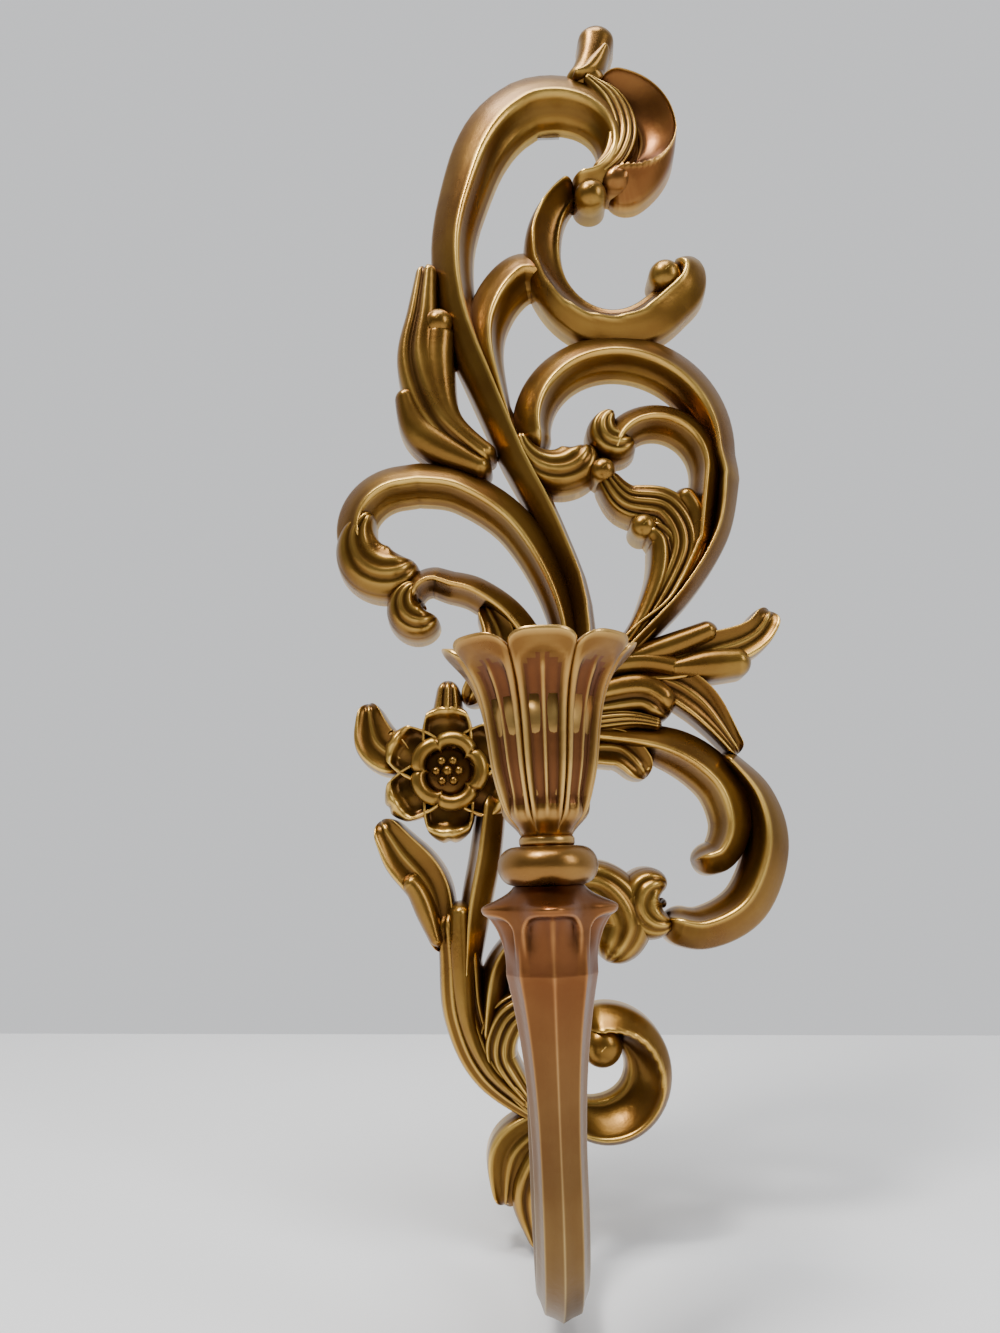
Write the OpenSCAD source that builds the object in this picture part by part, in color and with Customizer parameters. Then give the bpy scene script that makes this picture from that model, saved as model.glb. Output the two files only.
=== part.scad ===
// Wall sconce candle holder: a moulded scrollwork backplate, a J shaped candle arm and a tulip cup.
// X is to the right, Z is up and the wall is the plane Y = 0. The origin is the hanger hole.
// Inside the modules, x is measured from the cup's axis and z from a line near the top of the hook.

/* [Backplate] */
// depth of the moulding from the wall to its highest rims
plate_depth = 20; // [14:1:28]
// depth of the moulding under the rims
plate_floor = 11; // [6:1:14]
// share of a scroll's width that its raised rim takes
rim_share = 0.35; // [0.2:0.05:0.5]

/* [Candle arm] */
// distance from the wall to the cup's axis
arm_reach = 128; // [100:1:150]
// radius of the arm's octagonal section over its corners
arm_r = 8; // [6:0.5:10]
// the same radius just under the capital
arm_top_r = 14; // [10:0.5:16]
// radius of the arm's lower bend, on its centreline
arm_bend_r = 42; // [30:1:50]
// radius of the bend that turns the arm's foot to the wall
foot_bend_r = 18; // [14:1:22]
// height of the arm's foot
foot_z = -427; // [-440:1:-410]

/* [Cup] */
// height of the cup's rim
rim_z = -315; // [-325:1:-305]
// height of the cup from its base to its rim
cup_h = 60; // [50:1:70]
// radius over the petals
petal_r = 32; // [28:1:36]
// number of petals
petals = 8; // [6:1:10]
// radius of the candle that the liner takes
candle_r = 11.25; // [10.5:0.25:12.5]
// wall of the metal liner
liner_wall = 0.75; // [0.5:0.05:1]

/* [Fixings] */
// radius of the stud that the cup turns on
stud_r = 3; // [2.5:0.5:4]
// radius of the bolt that holds the arm
bolt_r = 2.5; // [2:0.5:3]
// running clearance on a radius
fit = 0.05; // [0.02:0.01:0.1]
// place of the hanger hole, from the cup's axis
hang_x = 14; // [5:1:25]
// height of the hanger hole
hang_z = -8; // [-12:1:-4]
// radius of the hanger hole
hang_r = 2.5; // [2:0.25:3]
// radius of the pad behind the arm's foot
boss_r = 11; // [10:0.5:13]
// width of the hanger plate
plate_w = 26; // [22:1:30]
// height of the hanger plate
plate_h = 12; // [10:1:14]

/* [Hidden] */
gold = [0.72, 0.55, 0.25];
steel = [0.62, 0.62, 0.64];
steps = 18;
cup_z = rim_z - cup_h;
collar_h = 3;
ring_h = 12;
ring_r = 15.6;
capital_z = cup_z - collar_h - ring_h;
capital_h = 26;
capital_r = 21;
capital_top_r = 12;
capital_lip = 6;
bend_z = -474;
liner_r = candle_r + liner_wall;
liner_h = 23;
liner_flange_r = 13.4;
flange_t = 1;
seat_h = 11;
seat_z = cup_z + seat_h;
shoulder_h = 32;
floor_t = 4;
collar_r = 8.7;
stud_depth = 13;
stud_over = 8;
nut_r = 6;
nut_h = 3;
nut_gap = 0.2;
nut_room_r = 7;
petal_gap = 9;
head_r = 5;
head_h = 3;
head_gap = 0.5;
washer_r = 5.5;
washer_t = 1;
recess_r = 6;
recess_depth = head_gap + head_h + washer_t;
bolt_depth = 14;
plate_t = 1.5;
nail_r = 1;
nail_x = 9;
nail_depth = 8.5;
nail_over = 0.5;
key_r = 5;
// overrun of a cut past the face it opens
over = 1;

// ---- curves -------------------------------------------------------------------------------------

// a spiral about an eye; radii and angles are given at its two ends, tall stretches it upwards
function spiral(eye, radii, angles, tall = 1) = [
    for (i = [0 : steps])
        let (t = i / steps, r = radii[0] + (radii[1] - radii[0]) * t)
        let (a = angles[0] + (angles[1] - angles[0]) * t)
        eye + r * [cos(a), tall * sin(a)]
];

// a smooth value between b and c, with a before and d after them
function blend(a, b, c, d, t) =
    0.5 * (2 * b + (c - a) * t + (2 * a - 5 * b + 4 * c - d) * t * t + (3 * b - a - 3 * c + d) * t * t * t);

// a value at share t of a list, smoothly between its entries
function along(list, t) =
    let (last = len(list) - 1, s = min(t, 0.9999) * last, i = floor(s))
    blend(list[max(i - 1, 0)], list[i], list[i + 1], list[min(i + 2, last)], s - i);

// a smooth curve through a few points
function curve(points) = [for (i = [0 : steps]) along(points, i / steps)];

function unit(v) = v / norm(v);
function side(path, i) =
    let (d = unit(path[min(i + 1, len(path) - 1)] - path[max(i - 1, 0)])) [-d[1], d[0]];

// the outline between two rails; each rail is a share of half the width, left of the path being +1
function band(path, widths, rails) =
    let (n = len(path) - 1)
    [for (k = [0 : 1], j = [0 : n])
        let (i = k == 0 ? j : n - j)
        path[i] + side(path, i) * rails[k] * along(widths, i / n) / 2];

// ---- the moulding's members: name, path, widths, side of the rim, knobs [x, z, radius], cut by ----

MEMBERS = [
    ["main_stem", concat(curve([[-1, -196], [-13, -163], [-26, -125], [-30, -86], [-25, -54]]),
        spiral([30, -35], [43, 14], [168, -85])), [13, 15, 18, 32, 17, 9], 1, [], []],
    ["upper_scroll", spiral([48, -25], [29, 29], [92, -85]), [14, 17, 16, 15, 16], 1,
        [[50, -49, 8]], ["main_stem"]],
    ["finial", curve([[41, 6], [41, 21], [45, 33], [47, 43]]), [27, 19, 18, 10], -1, [],
        ["main_stem", "upper_scroll"]],
    ["small_scroll", spiral([49, -86], [33, 36], [120, 325], 1.2), [9, 17, 18, 16, 10], 1,
        [[40, -58, 8], [73, -106, 9]], ["main_stem", "upper_scroll"]],
    ["side_leaf", curve([[16, -101], [3, -98], [-11, -115], [-15, -140], [-4, -186]]),
        [12, 18, 18, 12, 6], -1, [], ["small_scroll", "main_stem"]],
    ["upper_left_leaf", curve([[-42, -92], [-46, -118], [-50, -145], [-40, -175], [-17, -197]]),
        [7, 12, 14, 13, 9], -1, [], ["main_stem"]],
    ["inner_left_leaf", curve([[-35, -124], [-42, -150], [-34, -176], [-14, -194]]),
        [10, 12, 10, 7], -1, [], ["main_stem", "upper_left_leaf"]],
    ["lower_left_leaf", curve([[-55, -158], [-48, -181], [-16, -203]]), [8, 12, 8], -1, [],
        ["main_stem", "upper_left_leaf", "inner_left_leaf"]],
    ["trunk", curve([[-1, -196], [9, -218], [16, -236], [24, -262], [25, -292]]),
        [13, 12, 10, 8, 9], 1, [], ["main_stem", "lower_left_leaf"]],
    ["left_scroll", concat(curve([[18, -290], [13, -258], [-4, -227], [-30, -208], [-48, -206]]),
        spiral([-58, -232], [26, 15], [75, 320])), [9, 14, 17, 16, 16, 14], -1, [[-57, -243, 11]],
        ["trunk", "main_stem", "upper_left_leaf", "inner_left_leaf", "lower_left_leaf"]],
    ["lower_left_scroll", concat(curve([[3, -290], [-7, -272], [-22, -260], [-34, -256]]),
        spiral([-44, -265], [12, 8], [75, 320])), [9, 9, 9, 9, 7], -1, [[-41, -266, 5]],
        ["left_scroll", "trunk"]],
    ["drop_leaf", curve([[-19, -266], [-13, -286], [-28, -312]]), [7, 14, 8], 1, [],
        ["lower_left_scroll", "left_scroll"]],
    ["right_scroll", concat(curve([[46, -290], [72, -264], [90, -236], [96, -208]]),
        spiral([39, -187], [56, 29], [-10, 205])), [8, 8, 10, 20, 18, 14], -1, [[20, -198, 12]],
        ["small_scroll", "main_stem", "trunk", "side_leaf"]],
    ["inner_scroll", concat(curve([[46, -284], [66, -268], [82, -240]]),
        spiral([60, -200], [29, 17], [-20, 180])), [6, 8, 11, 13, 10], -1, [[45, -184, 9]],
        ["right_scroll"]],
    ["acanthus_leaf", curve([[39, -206], [52, -217], [70, -225], [76, -242], [65, -265], [44, -288]]),
        [9, 16, 19, 16, 18, 8], -1, [], ["right_scroll", "inner_scroll"]],
    ["leaf_fan", curve([[25, -304], [46, -302], [68, -312], [90, -337]]), [20, 22, 19, 8], 1, [],
        ["trunk", "left_scroll", "lower_left_scroll", "right_scroll"]],
    ["leaf_spray", curve([[40, -292], [62, -292], [90, -286], [111, -275]]), [14, 18, 19, 8], 1, [],
        ["leaf_fan", "right_scroll", "inner_scroll", "acanthus_leaf", "trunk"]],
    ["lower_trunk", curve([[24, -290], [20, -312], [6, -358], [0, -392], [0, -424]]),
        [10, 15, 16, 14, 12], 1, [],
        ["trunk", "left_scroll", "lower_left_scroll", "leaf_fan", "right_scroll"]],
    ["hook_ribbon", curve([[18, -327], [58, -333], [80, -348], [86, -367], [80, -381], [68, -384]]),
        [9, 11, 15, 15, 12, 7], 1, [], ["lower_trunk", "leaf_fan"]],
    ["small_leaf", curve([[14, -334], [40, -335], [50, -346]]), [10, 12, 6], 1, [],
        ["lower_trunk", "hook_ribbon"]],
    ["lower_right_scroll",
        curve([[84, -338], [98, -356], [101, -378], [90, -402], [70, -412], [54, -406]]),
        [8, 13, 16, 16, 14, 10], 1, [[49, -400, 8]], ["leaf_fan", "hook_ribbon"]],
    ["center_leaf", curve([[2, -391], [28, -395], [36, -410], [28, -424]]), [9, 13, 15, 8], 1, [],
        ["lower_trunk", "lower_right_scroll"]],
    ["rose_leaves", curve([[-72, -312], [-68, -328], [-54, -338]]), [7, 15, 12], 1, [], ["rose"]],
    ["flower_stem", curve([[-17, -366], [-25, -388], [-26, -412]]), [13, 12, 9], 1, [], ["rose"]],
    ["stem_leaf", curve([[-67, -362], [-57, -376], [-44, -392], [-39, -414]]), [6, 15, 14, 6], 1, [],
        ["rose", "flower_stem"]],
    ["lower_stem", curve([[-36, -398], [-34, -420], [-32, -444], [-22, -466], [2, -485]]),
        [14, 14, 14, 12, 8], 1, [], ["stem_leaf", "flower_stem"]],
    ["inner_ribbon", curve([[-9, -412], [-18, -426], [-23, -454]]), [8, 10, 6], 1, [],
        ["lower_stem", "arm_boss", "flower_stem", "lower_trunk"]],
    ["left_curl", curve([[-2, -438], [-17, -449], [-19, -462], [-4, -482]]), [9, 9, 8, 5], -1, [],
        ["lower_stem", "inner_ribbon", "arm_boss"]],
    ["bottom_scroll", spiral([24, -466], [22, 17], [212, 450]), [9, 14, 13, 11, 9], -1,
        [[26, -457, 7]], ["lower_stem", "left_curl", "arm_boss"]],
    ["bottom_leaf", curve([[0, -486], [-13, -505], [-6, -533]]), [12, 17, 3], 1, [],
        ["bottom_scroll", "lower_stem"]]
];

rose_at = [-37, -342];
rose_r = 15;
rose_petals = 6;
rose_petal_at = 20;
rose_petal_r = 11;

// ---- shared shapes ------------------------------------------------------------------------------

// moves a shape from the cup's axis to the frame of the hanger hole
module from_hanger() {
    translate([-hang_x, 0, -hang_z]) children();
}

// extrudes an outline from the wall, between two distances in front of it
module off_wall(near, far) {
    rotate([90, 0, 0]) translate([0, 0, near]) linear_extrude(far - near) children();
}

// a round bar that runs away from the wall
module bar(x, z, r, near, far) {
    translate([x, -near, z]) rotate([90, 0, 0]) cylinder(h = far - near, r = r, $fn = 48);
}

module rose_outline() {
    translate(rose_at) circle(r = rose_r + 5, $fn = 40);
    for (i = [0 : rose_petals - 1])
        let (a = 90 + i * 360 / rose_petals)
            translate(rose_at + rose_petal_at * [cos(a), sin(a)]) circle(r = rose_petal_r, $fn = 32);
}

// the full outline of a member, or only its raised rim
module outline(name, rim = false) {
    if (name == "rose") rose_outline();
    else if (name == "arm_boss") translate([0, foot_z]) circle(r = boss_r, $fn = 48);
    else {
        m = MEMBERS[search([name], MEMBERS)[0]];
        rails = rim ? [m[3], m[3] * (1 - 2 * rim_share)] : [1, -1];
        polygon(band(m[1], m[2], rails));
        for (k = m[4]) translate([k[0], k[1]]) circle(r = k[2], $fn = 32);
    }
}

module cut_outline(name, rim) {
    m = MEMBERS[search([name], MEMBERS)[0]];
    difference() {
        outline(name, rim);
        for (other = m[5]) outline(other);
    }
}

// a member of the moulding: a lower body with a raised rim and raised knobs
module moulding(name) {
    color(gold) from_hanger() {
        off_wall(0, plate_floor) cut_outline(name, false);
        off_wall(plate_floor - over, plate_depth) cut_outline(name, true);
    }
}

// ---- the backplate ------------------------------------------------------------------------------

// the stem's back has a pocket for the hanger plate, room for a nail's head and two nail holes
module main_stem() {
    difference() {
        moulding("main_stem");
        translate([-plate_w / 2, -plate_t, -plate_h / 2]) cube([plate_w, plate_t + over, plate_h]);
        bar(0, 0, key_r, -over, nail_depth + nail_over);
        for (s = [-1, 1]) bar(s * nail_x, 0, nail_r, -over, nail_depth + nail_over);
    }
}
module upper_scroll() moulding("upper_scroll");
module finial() moulding("finial");
module small_scroll() moulding("small_scroll");
module side_leaf() moulding("side_leaf");
module upper_left_leaf() moulding("upper_left_leaf");
module inner_left_leaf() moulding("inner_left_leaf");
module lower_left_leaf() moulding("lower_left_leaf");
module trunk() moulding("trunk");
module left_scroll() moulding("left_scroll");
module lower_left_scroll() moulding("lower_left_scroll");
module drop_leaf() moulding("drop_leaf");
module right_scroll() moulding("right_scroll");
module inner_scroll() moulding("inner_scroll");
module acanthus_leaf() moulding("acanthus_leaf");
module leaf_fan() moulding("leaf_fan");
module leaf_spray() moulding("leaf_spray");
module lower_trunk() {
    difference() {
        moulding("lower_trunk");
        from_hanger() bar(0, foot_z, boss_r, -over, plate_depth + over);
    }
}
module hook_ribbon() moulding("hook_ribbon");
module small_leaf() moulding("small_leaf");
module lower_right_scroll() moulding("lower_right_scroll");
module center_leaf() moulding("center_leaf");
module rose_leaves() moulding("rose_leaves");
module flower_stem() moulding("flower_stem");
module stem_leaf() moulding("stem_leaf");
module lower_stem() moulding("lower_stem");
module inner_ribbon() moulding("inner_ribbon");
module left_curl() moulding("left_curl");
module bottom_scroll() moulding("bottom_scroll");
module bottom_leaf() moulding("bottom_leaf");

module rose() {
    color(gold) from_hanger() {
        off_wall(0, plate_floor) rose_outline();
        bar(rose_at[0], rose_at[1], rose_r, plate_floor - over, plate_depth);
    }
}

// the pad behind the arm's foot, counterbored at the back for the bolt's head and washer
module arm_boss() {
    color(gold) from_hanger() difference() {
        bar(0, foot_z, boss_r, 0, plate_depth);
        bar(0, foot_z, recess_r, -over, recess_depth);
        bar(0, foot_z, bolt_r + fit, -over, plate_depth + over);
    }
}

// ---- the candle arm -----------------------------------------------------------------------------

module arm_section() {
    circle(r = arm_r, $fn = 8);
}

module candle_arm() {
    leg_y = arm_reach - 2 * arm_bend_r;
    color(gold) from_hanger() difference() {
        union() {
            translate([0, -arm_reach, bend_z])
                cylinder(h = capital_z - capital_h - bend_z, r1 = arm_r, r2 = arm_top_r, $fn = 8);
            translate([0, -arm_reach, capital_z - capital_h])
                cylinder(h = capital_h - capital_lip, r1 = arm_top_r, r2 = capital_r, $fn = 8);
            translate([0, -arm_reach, capital_z - capital_lip])
                cylinder(h = capital_lip, r1 = capital_r, r2 = capital_top_r, $fn = 8);
            translate([0, -arm_reach + arm_bend_r, bend_z]) rotate([90, 0, 90])
                rotate([0, 0, 180]) rotate_extrude(angle = 180, $fn = 64)
                    translate([arm_bend_r, 0]) arm_section();
            translate([0, -leg_y, bend_z])
                cylinder(h = foot_z - foot_bend_r - bend_z, r = arm_r, $fn = 8);
            translate([0, -leg_y + foot_bend_r, foot_z - foot_bend_r]) rotate([90, 0, 90])
                rotate([0, 0, 90]) rotate_extrude(angle = 90, $fn = 64)
                    translate([foot_bend_r, 0]) arm_section();
            translate([0, -leg_y + foot_bend_r, foot_z]) rotate([-90, 0, 0])
                cylinder(h = leg_y - foot_bend_r - plate_depth, r = arm_r, $fn = 8);
        }
        bar(0, foot_z, bolt_r + fit, plate_depth - over, plate_depth + bolt_depth + over);
        translate([0, -arm_reach, capital_z - stud_depth - over])
            cylinder(h = stud_depth + 2 * over, r = stud_r + fit, $fn = 48);
    }
}

module arm_bolt() {
    color(steel) from_hanger() {
        bar(0, foot_z, head_r, head_gap, head_gap + head_h);
        bar(0, foot_z, bolt_r, head_gap, plate_depth + bolt_depth);
    }
}

module arm_washer() {
    color(steel) from_hanger() difference() {
        bar(0, foot_z, washer_r, recess_depth - washer_t, recess_depth);
        bar(0, foot_z, bolt_r + fit, head_h, recess_depth + over);
    }
}

// ---- the cup ------------------------------------------------------------------------------------

module on_axis(z) {
    from_hanger() translate([0, -arm_reach, z]) children();
}

module drip_ring() {
    color(gold) on_axis(capital_z) rotate_extrude($fn = 64) {
        translate([ring_r - ring_h / 2, ring_h / 2]) circle(r = ring_h / 2, $fn = 32);
        translate([stud_r + fit, 0]) square([ring_r - ring_h / 2 - stud_r - fit, ring_h]);
    }
}

module cup_collar() {
    color(gold) on_axis(cup_z - collar_h) difference() {
        cylinder(h = collar_h, r = collar_r, $fn = 48);
        translate([0, 0, -over]) cylinder(h = collar_h + 2 * over, r = stud_r + fit, $fn = 48);
    }
}

module cup_stud() {
    color(steel) on_axis(capital_z - stud_depth)
        cylinder(h = cup_z + stud_over - capital_z + stud_depth, r = stud_r, $fn = 48);
}

module stud_nut() {
    color(steel) on_axis(cup_z + floor_t + nut_gap) difference() {
        cylinder(h = nut_h, r = nut_r, $fn = 6);
        translate([0, 0, -over]) cylinder(h = nut_h + 2 * over, r = stud_r + fit, $fn = 48);
    }
}

// the cup's body with one thick lip for each petal
module candle_cup() {
    lip_angle = 360 / petals - petal_gap;
    color(gold) on_axis(cup_z) {
        rotate_extrude($fn = 64) polygon([[stud_r + fit, 0], [8, 0], [13, 7], [16, 15], [18.5, 29],
            [21, 43], [27, 55], [24, 56], [19, 46], [15.5, 33], [14, shoulder_h],
            [liner_r + fit, shoulder_h], [liner_r + fit, seat_h], [nut_room_r, seat_h],
            [nut_room_r, floor_t], [stud_r + fit, floor_t]]);
        for (i = [0 : petals - 1]) rotate([0, 0, i * 360 / petals - lip_angle / 2 - 90])
            rotate_extrude(angle = lip_angle, $fn = 64)
                polygon([[23, cup_h - 11], [26, cup_h - 8], [petal_r, cup_h - 1],
                    [petal_r - 1.5, cup_h], [23, cup_h - 5.5]]);
    }
}

module cup_liner() {
    color(steel) on_axis(seat_z + nut_gap) difference() {
        union() {
            cylinder(h = liner_h, r = liner_r, $fn = 64);
            translate([0, 0, shoulder_h - seat_h]) cylinder(h = flange_t, r = liner_flange_r, $fn = 64);
        }
        translate([0, 0, flange_t]) cylinder(h = liner_h, r = candle_r, $fn = 64);
    }
}

// ---- the hanger ---------------------------------------------------------------------------------

module hanger_plate() {
    color(steel) difference() {
        translate([-plate_w / 2, -plate_t, -plate_h / 2]) cube([plate_w, plate_t, plate_h]);
        bar(0, 0, hang_r, -over, plate_t + over);
        for (s = [-1, 1]) bar(s * nail_x, 0, nail_r, -over, plate_t + over);
    }
}

module hanger_nails() {
    color(steel) for (s = [-1, 1]) bar(s * nail_x, 0, nail_r, 0, nail_depth);
}

main_stem();
upper_scroll();
finial();
small_scroll();
side_leaf();
upper_left_leaf();
inner_left_leaf();
lower_left_leaf();
trunk();
left_scroll();
lower_left_scroll();
drop_leaf();
right_scroll();
inner_scroll();
acanthus_leaf();
leaf_fan();
leaf_spray();
lower_trunk();
hook_ribbon();
small_leaf();
lower_right_scroll();
center_leaf();
rose();
rose_leaves();
flower_stem();
stem_leaf();
lower_stem();
inner_ribbon();
left_curl();
bottom_scroll();
bottom_leaf();
arm_boss();
candle_arm();
arm_bolt();
arm_washer();
drip_ring();
cup_collar();
cup_stud();
stud_nut();
candle_cup();
cup_liner();
hanger_plate();
hanger_nails();
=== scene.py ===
import itertools
import math

import bmesh
import bpy
from mathutils import Matrix, Vector


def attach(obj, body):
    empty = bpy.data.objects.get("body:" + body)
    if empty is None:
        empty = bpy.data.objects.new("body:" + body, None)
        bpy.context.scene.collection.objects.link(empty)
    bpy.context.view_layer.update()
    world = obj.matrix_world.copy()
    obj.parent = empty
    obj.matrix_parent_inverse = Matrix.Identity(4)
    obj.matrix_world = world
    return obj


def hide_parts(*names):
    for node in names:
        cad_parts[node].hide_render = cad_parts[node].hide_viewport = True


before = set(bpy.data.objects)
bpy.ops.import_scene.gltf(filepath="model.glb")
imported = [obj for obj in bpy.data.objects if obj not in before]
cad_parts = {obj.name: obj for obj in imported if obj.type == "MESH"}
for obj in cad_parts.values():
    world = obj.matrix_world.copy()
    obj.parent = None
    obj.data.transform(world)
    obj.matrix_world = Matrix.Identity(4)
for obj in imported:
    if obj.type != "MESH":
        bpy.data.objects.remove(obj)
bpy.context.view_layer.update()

# Millimetres throughout, as in the CAD: x from the cup's axis, z from a line near the top of the hook,
# and depth is the distance in front of the wall. place() turns them into the frame's metres.
HANG_X = 14
HANG_Z = -8
PLATE_DEPTH = 20
FOOT_Z = -427
ARM_REACH = 128
ARM_R = 8
ARM_TOP_R = 14
ARM_BEND_R = 42
FOOT_BEND_R = 18
BEND_Z = -474
RIM_Z = -315
CUP_Z = -375
CUP_H = RIM_Z - CUP_Z
COLLAR_H = 3
RING_H = 12
RING_R = 15.6
STUD_HOLE_R = 3.1
CAPITAL_Z = CUP_Z - COLLAR_H - RING_H
CAPITAL_H = 26


def place(x, depth, z):
    """A point of the frame, in metres."""
    return ((x - HANG_X) / 1000, -depth / 1000, (z - HANG_Z) / 1000)


# ---- curves -----------------------------------------------------------------------------------------

# the largest share of a list that still has an entry after it
NEAR_END = 0.9999


def along(values, t):
    """A value at share t of a list, smoothly between its entries."""
    last = len(values) - 1
    s = min(max(t, 0.0), NEAR_END) * last
    i = int(s)
    f = s - i
    a, b = values[max(i - 1, 0)], values[i]
    c, d = values[i + 1], values[min(i + 2, last)]

    def blend(p, q, r, w):
        return 0.5 * (2 * q + (r - p) * f + (2 * p - 5 * q + 4 * r - w) * f * f
                      + (3 * q - p - 3 * r + w) * f ** 3)

    if isinstance(b, (tuple, list)):
        return tuple(blend(*v) for v in zip(a, b, c, d))
    return blend(a, b, c, d)


def curve(points, steps=40):
    return [along(points, i / steps) for i in range(steps + 1)]


def spiral(eye, radii, angles, tall=1.0, steps=48):
    """A path about an eye, from the first radius and angle to the second; tall stretches it upwards."""
    path = []
    for i in range(steps + 1):
        t = i / steps
        r = radii[0] + (radii[1] - radii[0]) * t
        a = math.radians(angles[0] + (angles[1] - angles[0]) * t)
        path.append((eye[0] + r * math.cos(a), eye[1] + r * tall * math.sin(a)))
    return path


def even(path, steps):
    """The same path, with its points evenly spaced."""
    lengths = [0.0]
    for a, b in zip(path, path[1:]):
        lengths.append(lengths[-1] + math.dist(a, b))
    out = []
    k = 0
    for i in range(steps + 1):
        want = lengths[-1] * i / steps
        while k < len(path) - 2 and lengths[k + 1] < want:
            k += 1
        span = lengths[k + 1] - lengths[k]
        f = (want - lengths[k]) / span if span else 0.0
        a, b = path[k], path[k + 1]
        out.append((a[0] + (b[0] - a[0]) * f, a[1] + (b[1] - a[1]) * f))
    return out


def smooth(edge0, edge1, x):
    """0 at edge0 and beyond, 1 at edge1 and beyond, and an even S between them."""
    t = min(max((x - edge0) / (edge1 - edge0), 0.0), 1.0)
    return t * t * (3 - 2 * t)


def ridge(offset, half):
    """1 at offset 0, falling away to nothing over about twice half."""
    return math.exp(-(offset / half) ** 2)


def arch(u, share=0.96):
    """A round crown, 1 in the middle; a share below 1 leaves some of its height at the edges."""
    return math.sqrt(max(1 - (u * share) ** 2, 0.0))


# ---- meshes -----------------------------------------------------------------------------------------

def make(name, verts, faces, material, replaces=(), body="backplate", inlay=None, inlaid=()):
    """A finished piece; inlay is a second material for the faces whose numbers are in inlaid."""
    mesh = bpy.data.meshes.new(name)
    mesh.from_pydata(verts, [], faces)
    shape = bmesh.new()
    shape.from_mesh(mesh)
    bmesh.ops.recalc_face_normals(shape, faces=shape.faces)
    shape.to_mesh(mesh)
    shape.free()
    mesh.materials.append(material)
    if inlay:
        mesh.materials.append(inlay)
    for poly in mesh.polygons:
        poly.use_smooth = True
        poly.material_index = 1 if poly.index in inlaid else 0
    obj = bpy.data.objects.new(name, mesh)
    bpy.context.scene.collection.objects.link(obj)
    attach(obj, body)
    if replaces:
        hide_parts(*replaces)


def grid_faces(rows, cols, closed=False):
    """The quads of a grid of points; closed joins its last column to its first."""
    faces = []
    for i in range(rows - 1):
        for j in range(cols if closed else cols - 1):
            a = i * cols + j
            b = i * cols + (j + 1) % cols
            faces.append((a, b, b + cols, a + cols))
    return faces


def join(parts):
    verts, faces = [], []
    for v, f in parts:
        k = len(verts)
        verts += v
        faces += [tuple(i + k for i in face) for face in f]
    return verts, faces


# the share of the half width at which each point of a cross section lies, from the inner edge out
ACROSS = [-1.0, -0.985, -0.95, -0.88, -0.78, -0.67, -0.55, -0.43, -0.31, -0.19, -0.07, 0.05, 0.17, 0.29,
          0.4, 0.5, 0.59, 0.66, 0.71, 0.75, 0.79, 0.83, 0.86, 0.89, 0.91, 0.93, 0.95, 0.975, 1.0]
# how much wider than its front a band is at the wall, and than its stated width all over
DRAFT = 1.05
FULLNESS = 1.05
# rings of points along a band, and points of its evenly spaced path
STEPS = 130
PATH_STEPS = 400
# path points on each side of a ring, from which its direction is taken
REACH = 3
NARROWEST = 0.8
# at a band's very tip: its share of the full width, and of the full height
TIP_WIDTH = 0.04
TIP_HEIGHT = 0.45
# how much of its height a section loses at its very edge, and how sharply
EDGE_LOSS = 0.25
EDGE_POWER = 30
# every band and knob has its own back plane, a hair in front of the last, so that no two backs coincide
BACK_STEP = 0.02
back_planes = itertools.count(8)

# a scroll's rim and the low lip at its inner edge: height and width of each, and the lip's place
RIM_TALL = 1.5
RIM_WIDE = 1.1
LIP_TALL = 0.6
LIP_WIDE = 2.2
LIP_AT = -0.8


def gutter(start=None, crest_at=0.92, crest_end=-0.35, low=8.0):
    """A scroll's channel on the inner side of a thin rim, and its fall on the outer side.

    With a start, the rim winds inwards from crest_at, at that share of the path, to crest_end at the
    path's end. Without a start, it lies at crest_end all along. low is the channel's height at the inner
    edge.
    """
    def height(u, t, width):
        wound = 1.0 if start is None else smooth(start, 1.0, t)
        crest = crest_at + (crest_end - crest_at) * wound
        if u > crest:
            out = (u - crest) / (1 - crest)
            fall = 6.0 + 3.0 * (crest_at - crest)
            return PLATE_DEPTH - 0.7 * smooth(0, 0.3, out) - fall * out ** 1.5
        hollow = low + (PLATE_DEPTH - RIM_TALL - low) * ((u + 1) / (1 + crest)) ** 2.0
        rim = RIM_TALL * ridge((u - crest) * width, RIM_WIDE)
        lip = LIP_TALL * ridge((u - LIP_AT) * width, LIP_WIDE)
        return hollow + rim + lip - 2.4 * smooth(-0.84, -1.0, u)
    return height


def crowned(u, t, width):
    """A plain round section."""
    return 8.5 + 9.0 * arch(u)


def shell(u, t, width):
    """The crowned end of a scroll, striped along its curl."""
    stripe = abs(math.sin(u * 6.2 + 0.6)) ** 0.6
    return 6.6 + 11.5 * arch(u, 0.95) + 1.5 * stripe


def veined(count, depth=1.2):
    """A round leaf with count ridges along it, of the given depth."""
    def height(u, t, width):
        vein = abs(math.cos(u * math.pi * count / 2)) ** 0.6
        return 9.5 + 7.5 * arch(u, 0.95) + depth * (2 * vein - 1) * min(width / 12, 1.4)
    return height


def dished(u, t, width):
    """A leaf with a turned-up edge on both sides and a fine middle vein."""
    edge = abs(u * 0.97) ** 2.6 - smooth(0.84, 1.0, abs(u))
    return 13.0 + 4.6 * edge + 1.5 * ridge(u, 0.1)


def lobed(u, t, width):
    """A leaf that is full on its outer side and falls through a groove to its inner side."""
    return 11.0 + 7.0 * arch(u) + 1.3 * u - 2.6 * ridge(u + 0.25, 0.22)


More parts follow.
